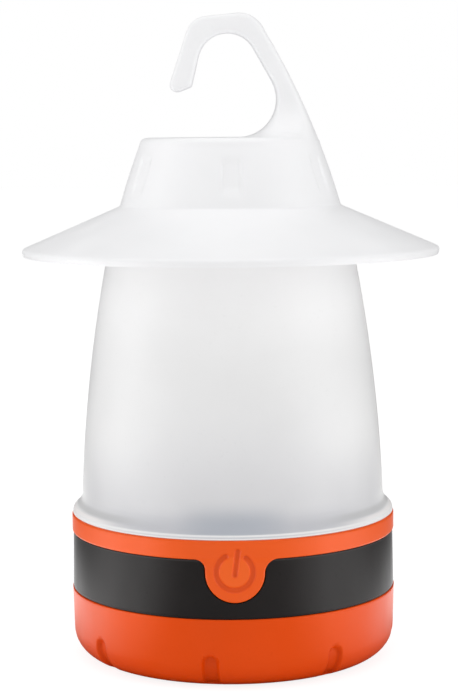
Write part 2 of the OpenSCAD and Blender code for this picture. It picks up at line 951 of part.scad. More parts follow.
module battery_tray() {
    saddle_y = cell_pitch + cell_d / 2 + saddle_rim;
    wall_y = cell_pitch + plate_w / 2;
    color(black)
        difference() {
            union() {
                disc(tray_r, ceiling_z, tray_top);
                for (x = [-1, 1])
                    difference() {
                        block(x * saddle_x - saddle_t / 2, x * saddle_x + saddle_t / 2, -saddle_y, saddle_y,
                            saddle_low, ceiling_z + join);
                        for (y = [-1, 0, 1])
                            cell_bed(y * cell_pitch);
                    }
                intersection() {
                    for (x = [-1, 1])
                        block(x * (wall_x + wall_t / 2) - wall_t / 2, x * (wall_x + wall_t / 2) + wall_t / 2,
                            -wall_y, wall_y, cell_z - plate_h / 2, ceiling_z + join);
                    disc(tray_r, 0, far);
                }
            }
            at_tray_screws()
                disc(screw_r + fit_gap, 0, far);
            for (side = [-1, 1])
                tag(side, fit_gap);
        }
}

module tray_screws() {
    color(steel)
        at_tray_screws() {
            disc(screw_head_r, ceiling_z - screw_head_t, ceiling_z);
            disc(screw_r, ceiling_z - join, ceiling_z + screw_l);
        }
}

// Cell along X with its nub towards the given side
module cell(y, side) {
    color([0.25, 0.42, 0.6])
        translate([0, y, cell_z])
            rotate([0, 90 * side, 0]) {
                translate([0, 0, -cell_l / 2])
                    cylinder(r = cell_d / 2, h = cell_l - cell_nub_l);
                translate([0, 0, cell_l / 2 - cell_nub_l - join])
                    cylinder(r = cell_nub_r, h = cell_nub_l + join);
            }
}

module cell_front() {
    cell(-cell_pitch, 1);
}

module cell_middle() {
    cell(0, -1);
}

module cell_rear() {
    cell(cell_pitch, 1);
}

// Contacts: plates on the tray's end walls, with pressed bumps for the nubs
module plate(side, y0, y1) {
    x = side * (plate_x + plate_t / 2);
    block(x - plate_t / 2, x + plate_t / 2, y0 - plate_w / 2, y1 + plate_w / 2,
        cell_z - plate_h / 2, cell_z + plate_h / 2);
}

module bump(side, y) {
    translate([side * (plate_x + join), y, cell_z])
        rotate([0, -90 * side, 0])
            cylinder(r1 = bump_r, r2 = cell_nub_r, h = spring_h - fit_gap);
}

module tag(side, gap) {
    x = side * (plate_x + plate_t / 2);
    y = side * cell_pitch;
    block(x - plate_t / 2 - gap, x + plate_t / 2 + gap, y - tag_w / 2 - gap, y + tag_w / 2 + gap,
        cell_z, tag_top);
}

module link_plate_right() {
    color(steel) {
        plate(1, -cell_pitch, 0);
        bump(1, -cell_pitch);
    }
}

module link_plate_left() {
    color(steel) {
        plate(-1, 0, cell_pitch);
        bump(-1, 0);
    }
}

module terminal_positive() {
    color(steel) {
        plate(1, cell_pitch, cell_pitch);
        bump(1, cell_pitch);
        tag(1, 0);
    }
}

module terminal_negative() {
    color(steel) {
        plate(-1, -cell_pitch, -cell_pitch);
        tag(-1, 0);
    }
}

// Conical contact spring, wide on the plate and narrow on the cell
spring_rings = 8;
spring_n = round(spring_turns * spring_rings);
spring_low = plate_x - spring_touch - spring_wire / 2;
spring_high = cell_l / 2 + spring_touch + spring_wire / 2;
function spring_route(side, y) = [
    for (i = [0 : spring_n])
        let (
            t = i / spring_n,
            r = spring_big_r + (spring_small_r - spring_big_r) * t,
            a = 360 * i / spring_rings
        )
        [side * (spring_low + (spring_high - spring_low) * t), y + r * cos(a), cell_z + r * sin(a)]
];
spring_path = spring_route(1, 0);
spring_gap = min([
    for (i = [0 : spring_n]) for (j = [i + spring_rings / 2 : spring_n]) norm(spring_path[i] - spring_path[j])
]) - spring_wire;
echo(least_spring_gap = spring_gap);

module contact_springs() {
    color(steel) {
        tube(spring_route(-1, -cell_pitch), spring_wire / 2, 6);
        tube(spring_route(1, 0), spring_wire / 2, 6);
        tube(spring_route(-1, cell_pitch), spring_wire / 2, 6);
    }
}

// Leads
lead_sides = 8;
lead_steps = 3;
module lead(route, tint) {
    color(tint)
        tube(smooth_route(route, lead_steps), lead_d / 2, lead_sides);
}

module battery_lead_positive() {
    lead(battery_positive_route, "firebrick");
}

module battery_lead_negative() {
    lead(battery_negative_route, black);
}

module led_lead_positive() {
    lead(led_route(1), "firebrick");
}

module led_lead_negative() {
    lead(led_route(-1), black);
}

hat();
hat_gasket();
diffuser();
diffuser_gasket();
collar_ring();
power_button();
housing();
cover_o_ring();
battery_cover();
led_board();
led_chips();
led_board_screws();
driver_board();
driver_parts();
switch_body();
switch_plunger();
battery_tray();
tray_screws();
cell_front();
cell_middle();
cell_rear();
contact_springs();
link_plate_right();
link_plate_left();
terminal_positive();
terminal_negative();
battery_lead_positive();
battery_lead_negative();
led_lead_positive();
led_lead_negative();
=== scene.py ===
import math

import bpy
from mathutils import Matrix, Vector


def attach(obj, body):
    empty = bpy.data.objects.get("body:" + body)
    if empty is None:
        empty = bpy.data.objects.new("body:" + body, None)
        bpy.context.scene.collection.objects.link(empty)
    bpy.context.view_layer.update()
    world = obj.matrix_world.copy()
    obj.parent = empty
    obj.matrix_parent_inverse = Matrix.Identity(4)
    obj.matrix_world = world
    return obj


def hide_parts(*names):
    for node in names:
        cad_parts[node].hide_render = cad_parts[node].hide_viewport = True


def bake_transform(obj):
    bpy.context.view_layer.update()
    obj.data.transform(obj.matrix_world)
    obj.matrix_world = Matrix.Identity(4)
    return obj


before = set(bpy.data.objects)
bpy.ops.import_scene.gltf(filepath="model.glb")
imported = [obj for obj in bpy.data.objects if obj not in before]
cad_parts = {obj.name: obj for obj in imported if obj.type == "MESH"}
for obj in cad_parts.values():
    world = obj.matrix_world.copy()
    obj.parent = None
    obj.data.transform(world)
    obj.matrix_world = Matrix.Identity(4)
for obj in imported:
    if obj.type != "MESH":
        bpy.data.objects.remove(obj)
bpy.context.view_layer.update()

# Camera: a long lens a little above the brim, as in the photograph, with the same slight turn about the
# line of sight that makes the right side stand a hair higher.
MM = 0.001
photo_size = (458, 700)
focal_px = 1934.7
sensor = 36
camera_at = Vector((-0.62, -473.8, 128.09)) * MM
camera_down, camera_roll, camera_side = math.radians(6.43), math.radians(-0.488), math.radians(-0.5)
camera_round = Matrix.Rotation(camera_side, 4, "Z")
camera_turn = camera_round @ Matrix.Rotation(math.pi / 2 - camera_down, 4, "X") @ Matrix.Rotation(camera_roll, 4, "Z")
bpy.ops.object.camera_add(location=camera_round @ camera_at, rotation=camera_turn.to_euler())
camera = bpy.context.object
camera.data.sensor_width = sensor
camera.data.lens = focal_px * sensor / max(photo_size)
camera.data.clip_start = 10 * MM
bpy.context.scene.camera = camera
bpy.context.scene.view_settings.view_transform = "Standard"


# Studio: a white floor that runs into a white surround, and two tall soft lights left and right of the
# camera with a broad weak one overhead. Finishes are made by the small classes below.
class Signal:
    """A shader socket that takes part in Python sums; each sum adds a Math node."""

    def __init__(self, finish, socket):
        self.finish = finish
        self.socket = socket

    def sum(self, operation, first, second):
        return self.finish.node("ShaderNodeMath", {"operation": operation}, {0: first, 1: second}, 0)

    def __add__(self, other):
        return self.sum("ADD", self, other)

    def __sub__(self, other):
        return self.sum("SUBTRACT", self, other)

    def __rsub__(self, other):
        return self.sum("SUBTRACT", other, self)

    def __mul__(self, other):
        return self.sum("MULTIPLY", self, other)

    def __abs__(self):
        return self.sum("ABSOLUTE", self, 0.0)

    __radd__ = __add__
    __rmul__ = __mul__


class Finish:
    """A node tree under construction, with one method for every node and short names for common ones."""

    def __init__(self, tree):
        self.tree = tree

    def node(self, kind, settings, sockets, output):
        node = self.tree.nodes.new(kind)
        for name, value in settings.items():
            setattr(node, name, value)
        for name, value in sockets.items():
            if isinstance(value, Signal):
                self.tree.links.new(value.socket, node.inputs[name])
            else:
                node.inputs[name].default_value = value
        return Signal(self, node.outputs[output])

    def rays(self):
        """Tells the rays that the camera sees and the rays that a surface mirrors."""
        return [self.node("ShaderNodeLightPath", {}, {}, name) for name in ("Is Camera Ray", "Is Glossy Ray")]

    def place(self):
        return self.node("ShaderNodeTexCoord", {}, {}, "Object")

    def axis(self, name):
        return self.node("ShaderNodeSeparateXYZ", {}, {"Vector": self.place()}, name)

    def vector(self, operation, sockets, output=0):
        return self.node("ShaderNodeVectorMath", {"operation": operation}, sockets, output)

    def noise(self, scale, detail=2.0, stretch=(1, 1, 1)):
        spot = self.node("ShaderNodeMapping", {}, {"Vector": self.place(), "Scale": stretch}, 0)
        return self.node("ShaderNodeTexNoise", {}, {"Vector": spot, "Scale": scale, "Detail": detail}, 0)

    def range(self, signal, low, high, to_low=0.0, to_high=1.0):
        sockets = {"Value": signal, "From Min": low, "From Max": high, "To Min": to_low, "To Max": to_high}
        return self.node("ShaderNodeMapRange", {"interpolation_type": "SMOOTHSTEP"}, sockets, 0)

    def band(self, signal, rise, fall, top=1.0):
        """Rises from 0 to top over one span and falls back over another."""
        return self.range(signal, *rise, 0.0, top) - self.range(signal, *fall, 0.0, top)

    def tint(self, share, first, second, blend="MIX"):
        ends = [end if isinstance(end, Signal) else (*end, 1) for end in (first, second)]
        settings = {"data_type": "RGBA", "blend_type": blend}
        return self.node("ShaderNodeMix", settings, {0: share, 6: ends[0], 7: ends[1]}, 2)

    def bump(self, height, strength, distance):
        sockets = {"Height": height, "Strength": strength, "Distance": distance}
        return self.node("ShaderNodeBump", {}, sockets, 0)


class Paint(Finish):
    """A piece's material: a Principled shader whose sockets are set by name."""

    def __init__(self, name):
        self.material = bpy.data.materials.new(name)
        self.material.use_nodes = True
        super().__init__(self.material.node_tree)
        self.shader = self.tree.nodes["Principled BSDF"]

    def set(self, **values):
        for name, value in values.items():
            socket = self.shader.inputs[name.replace("_", " ").title().replace("Ior", "IOR")]
            if isinstance(value, Signal):
                self.tree.links.new(value.socket, socket)
            elif isinstance(value, tuple) and len(value) == 3 and socket.type == "RGBA":
                socket.default_value = (*value, 1)
            else:
                socket.default_value = value

    def recess(self):
        return self.node("ShaderNodeAttribute", {"attribute_name": "recess"}, {}, 2)

    def clouds(self, scale, detail=2, edge=0.3):
        """Soft patches from 0 to 1."""
        return self.range(self.noise(scale, detail), edge, 1 - edge)

    def moulded(self, colour, roughness, specular, spread=0.025, rub=0.04, grain=0.06):
        """A moulded finish: cloudy colour, rubbed patches in the sheen and a fine grain pressed in."""
        clouds = self.clouds(38, 3)
        specks = self.range(self.noise(900), 0.62, 0.78)
        shade = self.tint(clouds, (1 - spread,) * 3, (1 + spread,) * 3)
        shade = self.tint(specks * 0.5, shade, (1 - 2 * spread,) * 3)
        tone = self.tint(1.0, colour, shade, "MULTIPLY")
        rubbed = self.range(self.noise(110, 4, (1, 1, 0.35)), 0.35, 0.7, roughness - rub, roughness + rub)
        pressed = self.bump(self.noise(2600), grain, 0.04 * MM)
        self.set(base_color=tone, roughness=rubbed, specular_ior_level=specular, normal=pressed)


surround = bpy.data.worlds.new("surround")
bpy.context.scene.world = surround
surround.use_nodes = True
surround_light, surround_seen, surround_shine = 0.64, 1.0, 0.1
sky = Finish(surround.node_tree)
seen, shine = sky.rays()
sky_node = surround.node_tree.nodes["Background"]
sky_node.inputs["Color"].default_value = (1, 1, 1, 1)
strength = seen * (surround_seen - surround_light) + shine * (surround_shine - surround_light) + surround_light
surround.node_tree.links.new(strength.socket, sky_node.inputs["Strength"])

bpy.ops.mesh.primitive_plane_add(size=8, location=(0, 0, -0.1 * MM))
floor = bpy.context.object
floor.name = "floor"
floor_light, floor_seen, floor_shine = (0.8,) * 3, (0.25,) * 3, (0.04,) * 3
floor_glow, floor_lift, patch_light = 0.86, 0.22, 3.7
right_share, back_share = 0.85, 0.34
floor_paint = Paint("floor_white")
seen, shine = floor_paint.rays()
floor_white = floor_paint.tint(seen, floor_paint.tint(shine, floor_light, floor_shine), floor_seen)
away = floor_paint.vector("LENGTH", {0: floor_paint.place()}, "Value")
near = floor_paint.range(away, 0.036, 0.05, 0.0, 1.5) - floor_paint.range(away, 0.06, 0.1, 0.0, 0.5)
lift = near * (1.0 - shine) * (floor_lift / patch_light)
bearing = floor_paint.axis("X").sum("ARCTAN2", floor_paint.axis("X"), floor_paint.axis("Y") * -1.0)
left_patch = floor_paint.band(bearing, (-2.0, -1.35), (-1.1, -0.55))
right_patch = floor_paint.band(bearing, (0.5, 1.0), (1.2, 1.9), right_share)
left_far = floor_paint.band(bearing, (-3.0, -2.3), (-2.0, -1.35))
right_far = floor_paint.band(bearing, (1.2, 1.9), (2.3, 3.0), right_share)
back_patch = (left_far + right_far) * floor_paint.range(away, 0.17, 0.075, 0.03, 0.6)
back_patch = back_patch + floor_paint.range(abs(bearing), 2.3, 2.8) * back_share
back_patch = back_patch * floor_paint.range(away, 0.4, 0.22)
lift = lift + (left_patch + right_patch + back_patch) * shine * floor_paint.range(away, 0.034, 0.085)
glow = floor_paint.tint(seen, floor_paint.tint(lift, (0, 0, 0), (patch_light,) * 3), (floor_glow,) * 3)
floor_paint.set(base_color=floor_white, roughness=0.9, emission_color=glow, emission_strength=1)
floor.data.materials.append(floor_paint.material)

light_aim = Vector((0, 0, 0.08))
for name, spot, size, watts in (
        ("light_left", (-0.89, -0.16, 0.16), (0.5, 0.9), 2.8),
        ("light_right", (0.82, -0.38, 0.16), (0.45, 0.9), 2.3),
        ("light_top", (0.0, -0.1, 1.1), (1.0, 1.0), 3.6)):
    aim = (light_aim - Vector(spot)).to_track_quat("-Z", "Y")
    bpy.ops.object.light_add(type="AREA", location=spot, rotation=aim.to_euler())
    light = bpy.context.object
    light.name = name
    light.data.shape = "RECTANGLE"
    light.data.size, light.data.size_y = size
    light.data.energy = watts

# Battery cover: an orange moulded cup that screws on from below, with a rounded foot and eight grip
# notches pressed into the round. The lantern stands on the ring left by the shallow hollow under it.
cover_top, cover_edge = 16.8, 0.25
cover_r, cover_foot_r, cover_round, cover_wall_r = 39.95, 39.62, 6.6, 38.9
cover_rebate_r, cover_rebate_z, cover_bore_r = 38.55, 15.35, 37.05
cover_floor_z, cover_inner_round = 3.0, 3.8
foot_ring_in, foot_hollow = 26.25, 1.0
notch_count, notch_turn = 8, math.radians(-8.6)
notch_half, notch_high, notch_depth = 2.0, 8.2, 1.2
notch_edge, notch_foot = (-0.315, 0.7), (0.15, 0.95)
notch_columns = [-4.2, -3.4, -2.9, -2.6, -2.4, -2.25, -2.1, -1.95, -1.8, -1.65, -1.5, -1.3, -1.0, -0.5, 0]
notch_columns += [-x for x in reversed(notch_columns[:-1])]
between_columns = 7
weld = 1e-6
crisp_angle = math.radians(32)


def smooth(low, high, value):
    """Runs from 0 to 1 between low and high, level at both ends."""
    share = min(max((value - low) / (high - low), 0.0), 1.0)
    return share * share * (3 - 2 * share)


def spaced(start, end, steps):
    """Evenly spaced values from start to end, both included."""
    return [start + (end - start) * i / steps for i in range(steps + 1)]


def arc(centre, r, start, end, steps):
    """Points on a round from one angle to another, in degrees."""
    turns = [math.radians(a) for a in spaced(start, end, steps)]
    return [(centre[0] + r * math.cos(a), centre[1] + r * math.sin(a)) for a in turns]


def line(start, end, steps):
    """Points from start up to, but not including, end."""
    return [tuple(s + (e - s) * i / steps for s, e in zip(start, end)) for i in range(steps)]


def formed_grid(name, columns, rows, place):
    """Adds a grid and moves its points to place(column, row), in millimetres; a fourth value tells how
    far the point is pressed in."""
    bpy.ops.object.select_all(action="DESELECT")
    bpy.ops.mesh.primitive_grid_add(x_subdivisions=columns - 1, y_subdivisions=rows - 1, size=1)
    piece = bpy.context.object
    piece.name = name
    recess = [0.0] * len(piece.data.vertices)
    for point in piece.data.vertices:
        column = round((point.co.x + 0.5) * (columns - 1))
        row = round((point.co.y + 0.5) * (rows - 1))
        spot = place(column, row)
        point.co = Vector(spot[:3]) * MM
        if len(spot) > 3:
            recess[point.index] = spot[3]
    layer = piece.data.attributes.new("recess", "FLOAT", "POINT")
    layer.data.foreach_set("value", recess)
    return piece


def pick(*pieces):
    """Selects pieces, with the first of them active."""
    bpy.ops.object.select_all(action="DESELECT")
    for piece in pieces:
        piece.select_set(True)
    bpy.context.view_layer.objects.active = pieces[0]


def edit(piece, *steps):
    """Runs edit-mode steps on one piece, with all of it selected first."""
    pick(piece)
    bpy.ops.object.mode_set(mode="EDIT")
    bpy.ops.mesh.select_all(action="SELECT")
    for step in steps:
        step()
    bpy.ops.object.mode_set(mode="OBJECT")
    bpy.ops.object.shade_smooth_by_angle(angle=crisp_angle)


def face_outward():
    """Turns every face outward."""
    bpy.ops.mesh.select_all(action="SELECT")
    bpy.ops.mesh.normals_make_consistent(inside=False)


def close_seams():
    """Welds points that meet."""
    bpy.ops.mesh.remove_doubles(threshold=weld)
    face_outward()


def wear(piece, paint, slot, *nodes):
    """Gives a new piece its finish and hides the CAD nodes that it stands for. The slot is not used."""
    piece.data.materials.clear()
    piece.data.materials.append(paint.material)
    if nodes:
        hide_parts(*nodes)


cover_profile = (
    [(0, foot_hollow), (foot_ring_in - 6, foot_hollow), (foot_ring_in, foot_hollow), (foot_ring_in, foot_hollow - 0.3)]
    + arc((foot_ring_in + cover_edge, cover_edge), cover_edge, 180, 270, 3)
    + line((foot_ring_in + 2, 0), (cover_foot_r - cover_round, 0), 6)
    + arc((cover_foot_r - cover_round, cover_round), cover_round, -90, -1.5, 26)
    + line((cover_foot_r + 0.02, cover_round + 0.3), (cover_r - 0.03, cover_top - cover_edge), 16)
    + arc((cover_r - cover_edge - 0.02, cover_top - cover_edge), cover_edge, 0, 90, 4)
    + [(cover_rebate_r, cover_top), (cover_rebate_r, cover_rebate_z), (cover_bore_r, cover_rebate_z)]
    + line((cover_bore_r, cover_rebate_z - 0.5), (cover_bore_r, cover_floor_z + cover_inner_round), 3)
    + arc((cover_bore_r - cover_inner_round, cover_floor_z + cover_inner_round), cover_inner_round, 0, -90, 6)
    + [(foot_ring_in, cover_floor_z), (10, cover_floor_z), (0, cover_floor_z)])


def cover_turns():
    """Angles of the cover's columns: close together over each notch, wide apart between them."""
    turns = []
    pitch = 2 * math.pi / notch_count
    for i in range(notch_count):
        middle = -math.pi / 2 + notch_turn + pitch * i
        turns += [(middle + x / cover_r, x) for x in notch_columns]
        free = pitch - 2 * notch_columns[-1] / cover_r
        start = middle + notch_columns[-1] / cover_r
        turns += [(a, None) for a in spaced(start, start + free, between_columns + 1)[1:-1]]
    return turns + [(turns[0][0] + 2 * math.pi, turns[0][1])]


cover_columns = cover_turns()


def cover_place(column, row):
    """A point of the cover, pressed in where a notch crosses the wall or the round of the foot."""
    turn, across = cover_columns[column]
    r, z = cover_profile[row]
    pressed = 0.0
    foot = r > cover_foot_r - cover_round - 0.01 and z < cover_round
    wall = r > cover_wall_r and z < cover_top - 0.5
    if across is not None and (foot or wall):
        x = across * r / cover_r
        inside = notch_half - abs(x)
        if z > notch_high - notch_half:
            inside = notch_half - math.hypot(x, z - notch_high + notch_half)
        pressed = smooth(*notch_edge, inside) * smooth(*notch_foot, z)
        r -= notch_depth * pressed
    return (r * math.cos(turn), r * math.sin(turn), z, pressed)


cover = formed_grid("battery_cover_moulding", len(cover_columns), len(cover_profile), cover_place)
edit(cover, close_seams)
orange = Paint("orange_satin")
# The grip notches are painted darker than the rest of the cup: painted shade in the recesses.
orange_notch_shade = orange.tint(orange.recess() * 0.18, (0.77, 0.065, 0.0003), (0.57, 0.04, 0.0002))
scuffs = orange.range(orange.axis("Z"), 0.002, 0.0003) * orange.range(orange.noise(320, 4), 0.5, 0.66)
orange.moulded(orange.tint(scuffs * 0.35, orange_notch_shade, (0.9, 0.3, 0.12)), 0.34, 0.25)
orange.set(specular_tint=(1.0, 0.94, 0.66))
wear(cover, orange, "orange_plastic", "battery_cover")
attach(cover, "battery_cover")

# Housing: the black band with its deck, neck and spool, one satin moulding that the cover screws on from
# below by the thread on its neck. The band's lower lip comes down to the cover's edge.
band_in, band_out, band_low, band_high, band_soft, band_turns = 38.8, 39.7, 16.92, 17.8, 0.1, 192
neck_r, neck_low, neck_high = 36.75, 8.0, 15.0
pole_r = 0.1


def dress(node, paint):
    """Gives a CAD node its finish."""
    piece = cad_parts[node]
    piece.data.materials.clear()
    piece.data.materials.append(paint.material)


def join(*pieces):
    """Joins pieces into the first of them."""
    pick(*pieces)
    bpy.ops.object.join()


def turned(name, profile, count, r, z):
    """Turns a profile by pulling a circle from ring to ring; a ring as small as a pole closes to a point."""
    bpy.ops.object.select_all(action="DESELECT")
    bpy.ops.mesh.primitive_circle_add(vertices=count, radius=r * MM, location=(0, 0, 0))
    piece = bpy.context.object
    piece.name = name

    def pull():
        bpy.ops.transform.translate(value=(0, 0, z * MM))
        before = (r, z)
        for after in profile:
            rise = (after[1] - before[1]) * MM
            bpy.ops.mesh.extrude_region_move(TRANSFORM_OT_translate={"value": (0, 0, rise)})
            grow = after[0] / before[0]
            bpy.ops.transform.resize(value=(grow, grow, 1), center_override=(0, 0, after[1] * MM))
            before = after
        if before[0] <= pole_r:
            bpy.ops.mesh.merge(type="CENTER")
        face_outward()

    edit(piece, pull)
    return piece


def thread(name, r, low, high, paint, slot):
    """A three-start right-hand thread round a wall; each ridge runs out to nothing at both ends."""
    starts, lead, ridge, wide, sunk, steps, run_out = 3, 9.0, 0.2, 0.65, 0.1, 96, 0.06
    section = [(-sunk, -wide), (0, -wide), (ridge, -wide / 3), (ridge, wide / 3), (0, wide), (-sunk, wide),
               (-sunk, -wide)]

    def ridge_place(first):
        def place(column, row):
            share = column / steps
            full = smooth(0, run_out, share) * smooth(1, 1 - run_out, share)
            z = low + (high - low) * share
            turn = first + (z - low) / lead * 2 * math.pi
            r_here = r - sunk + (section[row][0] + sunk) * full
            return (r_here * math.cos(turn), r_here * math.sin(turn), z + section[row][1] * full)
        return place

    ridges = [formed_grid(name, steps + 1, len(section), ridge_place(2 * math.pi * i / starts))
              for i in range(starts)]
    join(*ridges)
    edit(ridges[0], close_seams)
    wear(ridges[0], paint, slot)
    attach(ridges[0], "housing")


black = Paint("black_satin")
# A thin painted highlight runs round the band just under the collar.
band_top_highlight = black.band(black.axis("Z"), (0.0301, 0.0305), (0.0306, 0.0307))
black_with_top_highlight = black.tint(band_top_highlight * 0.5, (0.02, 0.0178, 0.0175), (0.06, 0.058, 0.058))
black.moulded(black_with_top_highlight, 0.34, 0.14, spread=0.12)
dress("housing", black)
thread("neck_thread", neck_r, neck_low, neck_high, black, "black_plastic")
band_profile = [(band_out - band_soft, band_low), (band_out, band_low + band_soft), (band_out, band_high),
                (band_in, band_high), (band_in, band_low)]
band_lip = turned("band_lip", band_profile, band_turns, band_in, band_low)
edit(band_lip, close_seams)
wear(band_lip, black, "black_plastic")
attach(band_lip, "housing")

# Seals: soft black rings under the cover's edge, under the diffuser's lip and under the hat's socket, all
# cut or moulded from dull rubber.
rubber = Paint("seal_rubber")
rubber.moulded((0.03, 0.03, 0.03), 0.62, 0.3, spread=0.15, grain=0.2)
for name in ("cover_o_ring", "diffuser_gasket", "hat_gasket"):
    dress(name, rubber)

# Battery tray: a black moulding screwed under the deck. It holds three cells in printed sleeves between
# plated steel plates and springs.
tray_black = Paint("tray_black")
tray_black.moulded((0.03, 0.03, 0.032), 0.5, 0.3, spread=0.15, grain=0.12)
dress("battery_tray", tray_black)
steel = Paint("plated_steel")
brushed = steel.noise(700, 3, (0.1, 1, 1))
steel_shade = steel.tint(steel.clouds(90, 3), (0.5, 0.5, 0.52), (0.7, 0.7, 0.72))
steel.set(base_color=steel_shade, metallic=1.0, roughness=steel.range(brushed, 0.3, 0.7, 0.22, 0.4),
          normal=steel.bump(brushed, 0.1, 0.03 * MM))
for name in ("tray_screws", "led_board_screws", "contact_springs", "link_plate_right", "link_plate_left",
             "terminal_positive", "terminal_negative"):
    dress(name, steel)
sleeve = Paint("printed_sleeve")
cell_end = abs(sleeve.axis("X"))
bare_end = sleeve.range(cell_end, 0.0237, 0.0238)
stripe = sleeve.band(cell_end, (0.0135, 0.0137), (0.0165, 0.0167))
print_shade = sleeve.tint(sleeve.clouds(120, 3), (0.16, 0.25, 0.36), (0.22, 0.32, 0.45))
print_shade = sleeve.tint(stripe, print_shade, (0.55, 0.57, 0.6))
sleeve.set(base_color=sleeve.tint(bare_end, print_shade, (0.6, 0.6, 0.62)), metallic=bare_end,
           roughness=sleeve.range(sleeve.noise(300, 3), 0.3, 0.7, 0.22, 0.34))
for name in ("cell_front", "cell_middle", "cell_rear"):
    dress(name, sleeve)

# Driver board: green glass laminate with printed tracks, its parts in black resin, and the push switch
# that the button's tongue presses.
laminate = Paint("board_laminate")
tracks = laminate.axis("X").sum("SINE", laminate.axis("X") * 2900.0, 0.0)
tracks = laminate.range(tracks, 0.72, 0.86) * laminate.range(laminate.noise(160, 1), 0.42, 0.46)
weave = laminate.clouds(1500, 2, 0.35)
laminate_shade = laminate.tint(weave, (0.012, 0.09, 0.03), (0.018, 0.12, 0.045))
laminate.set(base_color=laminate.tint(tracks, laminate_shade, (0.06, 0.3, 0.12)),
             roughness=laminate.range(weave, 0.0, 1.0, 0.3, 0.42), normal=laminate.bump(tracks, 0.3, 0.03 * MM))
dress("driver_board", laminate)
resin = Paint("black_resin")
resin.moulded((0.02, 0.02, 0.022), 0.45, 0.4, spread=0.2, grain=0.2)
for name in ("driver_parts", "switch_body"):
    dress(name, resin)
ivory = Paint("ivory_plastic")
ivory.moulded((0.62, 0.6, 0.55), 0.4, 0.4)
dress("switch_plunger", ivory)

# Leads: stranded wires in soft sleeves, red and black, soldered from the terminals to the driver board and
# on through the deck to the lamp board. Their tinned ends are bare.
lead_r, lead_sides, lead_steps, bare_l = 0.6, 16, 8, 1.2
lead_end = [(0, 0), (0.1, 0.6), (0.3, 0.9)]
lead_red, lead_black, lead_tin = (0.5, 0.02, 0.02), (0.02, 0.02, 0.02), (0.62, 0.6, 0.57)
battery_positive = [(27.1, 14.8, 20.575), (26.8, 13, 22.975), (26, 8, 23.475), (27, -4, 23.475), (25, -16, 23.475),
                    (18, -25, 24.475), (13, -26.2, 24.475), (10, -27.2, 24.475), (9, -29.7, 24.475)]
battery_negative = [(-27.1, -14.8, 20.575), (-26.8, -15.5, 22.475), (-25, -18, 23.475), (-19, -23.5, 23.475),
                    (-13, -26, 24.475), (-10, -27.2, 24.475), (-9, -29.7, 24.475)]
lamp_positive = [(4, -29.7, 24.975), (3.5, -27, 25.475), (1.2, -24.5, 28.05), (1.2, -24, 31.05), (1.2, -22, 34.05),
                 (1.5, -17, 36.05), (1.8, -12, 35.65), (2, -9.6, 34.8)]
lamp_negative = [(-x, y, z) for x, y, z in lamp_positive]


def lead_rows(route):
    """Points, turns and sizes of a lead's rings along a smooth line through its route."""
    knots = [Vector(point) for point in route]
    knots = [2 * knots[0] - knots[1]] + knots + [2 * knots[-1] - knots[-2]]
    spots = []
    for a, b, c, d in zip(knots, knots[1:], knots[2:], knots[3:]):
        for i in range(lead_steps):
            t = i / lead_steps
            spots.append((2 * b + (c - a) * t + (2 * a - 5 * b + 4 * c - d) * t ** 2
                          + (3 * b - a - 3 * c + d) * t ** 3) / 2)
    spots.append(knots[-2])
    ways = [(b - a).normalized() for a, b in zip(spots, spots[1:])]
    head = [(spots[0] + ways[0] * reach, size) for reach, size in lead_end]
    tail = [(spots[-1] - ways[-1] * reach, size) for reach, size in reversed(lead_end)]
    rings = head + [(spot, 1.0) for spot in spots[2:-2]] + tail
    rows, way = [], ways[0]
    side = way.orthogonal().normalized()
    for i, (spot, size) in enumerate(rings):
        near, far = rings[max(i - 1, 0)][0], rings[min(i + 1, len(rings) - 1)][0]
        onward = (far - near).normalized()
        side = way.rotation_difference(onward) @ side
        way = onward
        bare = min((spot - spots[0]).length, (spot - spots[-1]).length) < bare_l
        rows.append((spot, side.copy(), way.cross(side), size * lead_r, float(bare)))
    return rows


def make_lead(node, route, colour, slot):
    """A lead as a tube along its route, with its sleeve and its tinned ends."""
    rows = lead_rows(route)

    def lead_place(column, row):
        spot, side, other, r, bare = rows[row]
        a = 2 * math.pi * column / lead_sides
        return (*(spot + (side * math.cos(a) + other * math.sin(a)) * r), bare)

    piece = formed_grid(node + "_wire", lead_sides + 1, len(rows), lead_place)
    edit(piece, close_seams)
    paint = Paint(node + "_sleeve")
    tinned = paint.range(paint.recess(), 0.4, 0.6)
    paint.moulded(paint.tint(tinned, colour, lead_tin), 0.4, 0.4, spread=0.08)
    paint.set(metallic=tinned)
    wear(piece, paint, slot, node)
    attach(piece, "housing")


make_lead("battery_lead_positive", battery_positive, lead_red, "lead_red")
make_lead("battery_lead_negative", battery_negative, lead_black, "lead_black")
make_lead("led_lead_positive", lamp_positive, lead_red, "lead_red")
make_lead("led_lead_negative", lamp_negative, lead_black, "lead_black")

# Lamp board: a dark anodised metal disc on the deck, with a ring of lamps in white cases whose tops are
# filled with yellow phosphor.
anodised = Paint("anodised_board")
turned_marks = anodised.noise(260, 3, (1, 1, 0.2))
anodised_shade = anodised.tint(anodised.range(turned_marks, 0.3, 0.7), (0.06, 0.09, 0.16), (0.1, 0.14, 0.23))
anodised.set(base_color=anodised_shade, metallic=0.6, roughness=anodised.range(turned_marks, 0.3, 0.7, 0.36, 0.5),
             normal=anodised.bump(turned_marks, 0.06, 0.04 * MM))
dress("led_board", anodised)
phosphor = Paint("phosphor")
filled = phosphor.range(phosphor.axis("Z"), 0.0344, 0.0346)
phosphor_shade = phosphor.tint(phosphor.clouds(1800, 2, 0.35), (0.8, 0.55, 0.08), (0.9, 0.68, 0.14))
phosphor.set(base_color=phosphor.tint(filled, (0.85, 0.85, 0.83), phosphor_shade),
             roughness=phosphor.range(phosphor.noise(900), 0.3, 0.7, 0.3, 0.5))
dress("led_chips", phosphor)
